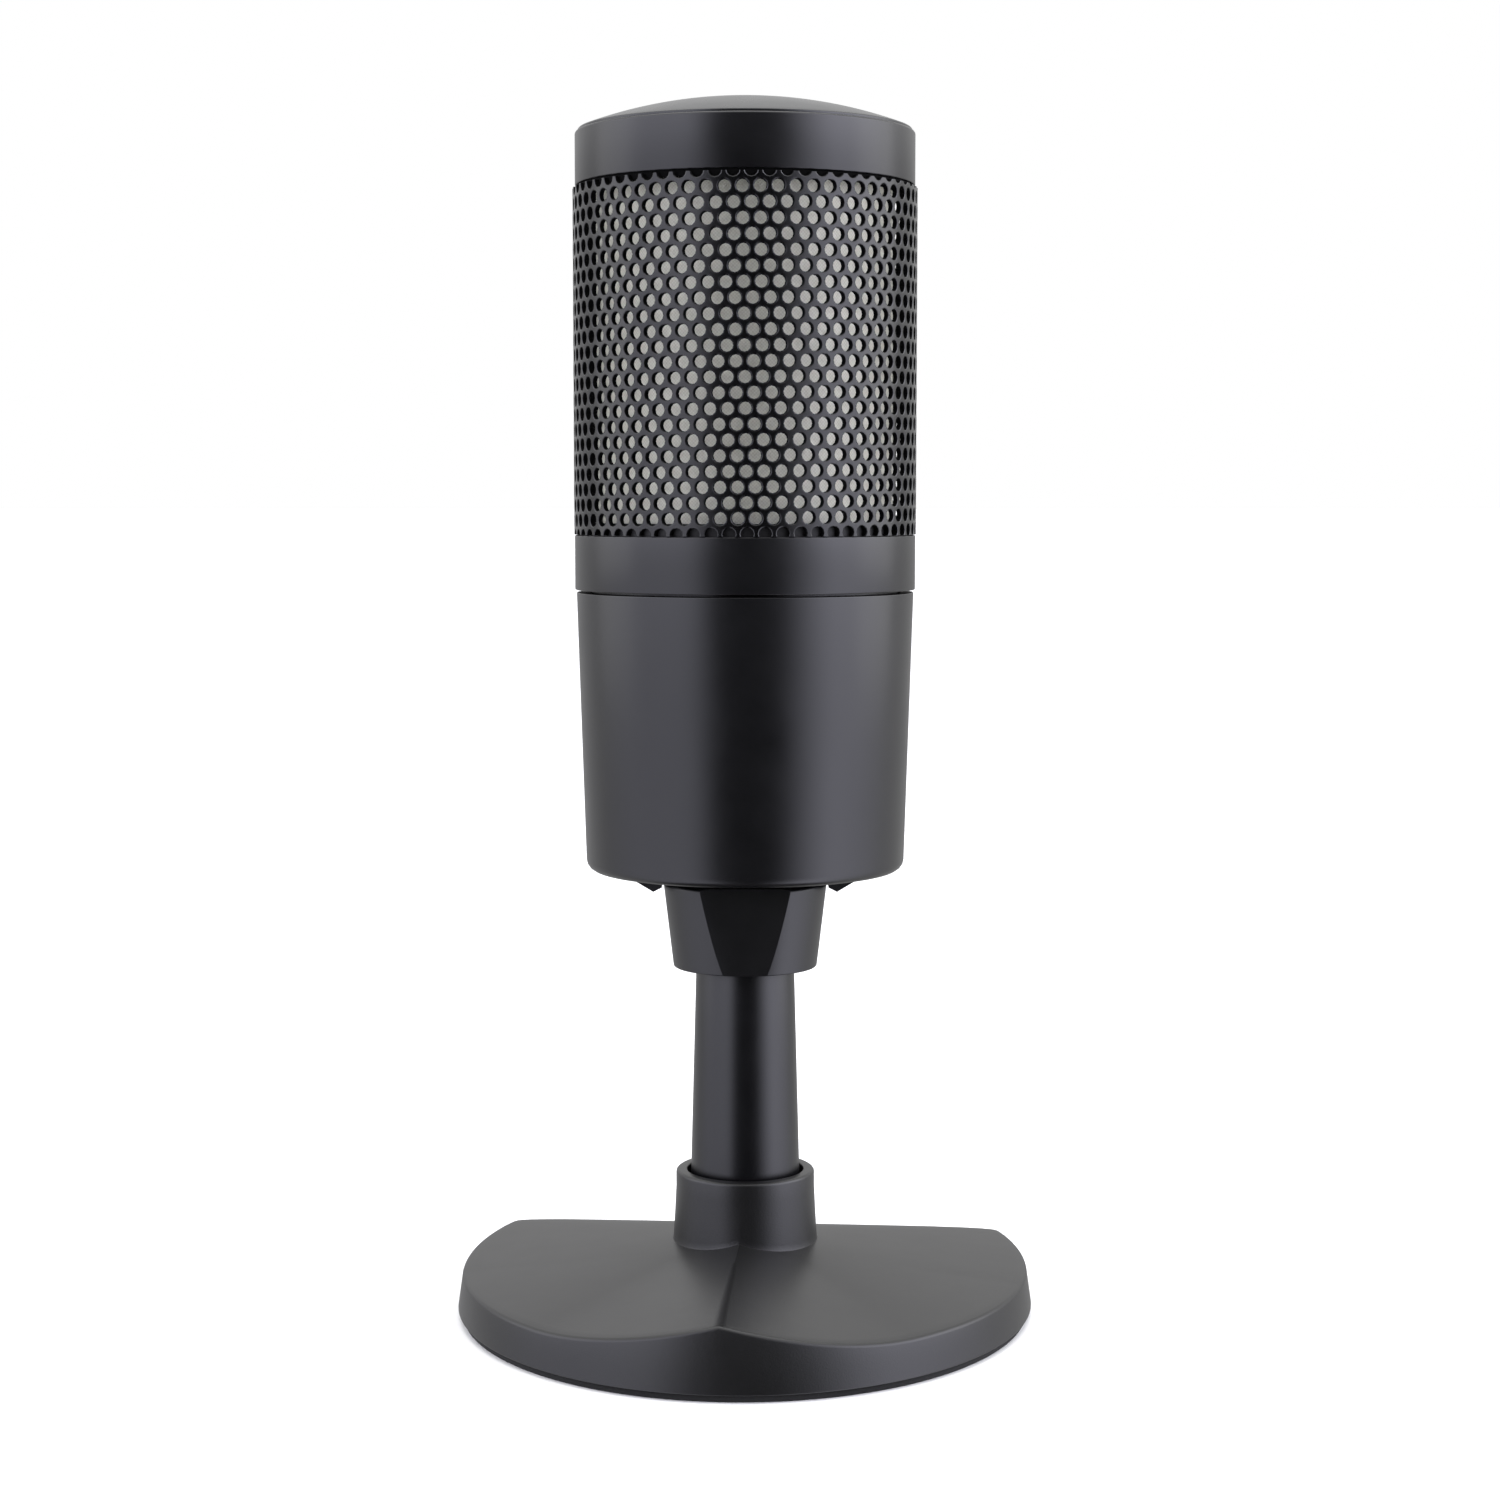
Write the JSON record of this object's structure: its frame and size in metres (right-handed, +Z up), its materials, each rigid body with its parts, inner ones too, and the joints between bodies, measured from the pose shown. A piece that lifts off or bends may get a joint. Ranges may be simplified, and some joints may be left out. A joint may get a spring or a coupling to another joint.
{
  "type": "desktop microphone",
  "caption": "Desktop microphone: a perforated side-address head that tilts on a swivelling stem over a weighted D-shaped base, with a gain knob and a mute button.",
  "frame": {"origin": "underside of the foot pad, on the stem's axis", "axes": "+Z up, +Y the way the microphone's front and controls look, +X to the right seen from behind the microphone"},
  "size_m": [0.0958, 0.0864, 0.1994],
  "materials": {
    "satin_black_metal": "satin black powder coat",
    "dome_metal": "satin blue-grey coat",
    "grille_steel": "satin black coat over perforated steel",
    "steel_gauze": "plain woven wire",
    "matte_black_plastic": "fine moulded texture",
    "inner_black_plastic": "moulded",
    "control_plastic": "smooth moulded",
    "lens_plastic": "clear",
    "circuit_board": "solder mask",
    "component_black": "moulded package",
    "bright_steel": "zinc plated",
    "blackened_steel": "black oxide",
    "cast_weight": "as cast",
    "brass_metal": "turned",
    "gold_film": "gold sputtered film",
    "black_rubber": "matt closed cell",
    "white_nylon": "natural nylon",
    "led_body": "moulded"
  },
  "bodies": {
    "base": {"base_shell": "matte_black_plastic", "base_plate": "blackened_steel", "base_weight": "cast_weight", "base_screws": "bright_steel", "foot_pad": "black_rubber", "swivel_washer": "white_nylon"},
    "stand": {"stem": "satin_black_metal", "stem_bolt": "bright_steel", "pivot_collar": "matte_black_plastic"},
    "head": {"tilt_bracket": "blackened_steel", "tilt_pin": "bright_steel", "tilt_washers": "white_nylon", "bracket_screws": "bright_steel", "lower_housing": "satin_black_metal", "body_floor": "inner_black_plastic", "floor_screws": "bright_steel", "inner_chassis": "inner_black_plastic", "main_board": "circuit_board", "board_chips": "component_black", "control_board": "circuit_board", "board_spacers": "brass_metal", "usb_socket": "bright_steel", "usb_board": "circuit_board", "gain_control": "component_black", "mute_switch": "inner_black_plastic", "status_lens": "lens_plastic", "status_led": "led_body", "head_band": "satin_black_metal", "grille_sleeve": "grille_steel", "gauze_seat": "inner_black_plastic", "wire_gauze": "steel_gauze", "top_ring": "satin_black_metal", "top_dome": "dome_metal", "capsule_body": "brass_metal", "diaphragm": "gold_film", "capsule_ring": "black_rubber", "capsule_bracket": "inner_black_plastic", "capsule_screws": "bright_steel"},
    "knob": {"gain_knob": "control_plastic", "gain_shaft": "brass_metal"},
    "button": {"mute_button": "control_plastic"}
  },
  "joints": [
    {"name": "stem_swivel", "type": "hinge", "parent": "base", "child": "stand", "pos_m": [0, 0, 0.0125], "axis": [0, 0, 1], "continuous": true},
    {"name": "head_tilt", "type": "hinge", "parent": "stand", "child": "head", "pos_m": [0, 0, 0.075], "axis": [1, 0, 0], "range_deg": [-35, 35]},
    {"name": "gain_turn", "type": "hinge", "parent": "head", "child": "knob", "pos_m": [0, 0.03, 0.097], "axis": [0, 1, 0], "range_deg": [-140, 140]},
    {"name": "mute_press", "type": "slide", "parent": "head", "child": "button", "axis": [0, -1, 0], "range_m": [0, 0.0006], "stiffness_N_per_m": 1500, "springref_m": -0.0002}
  ]
}
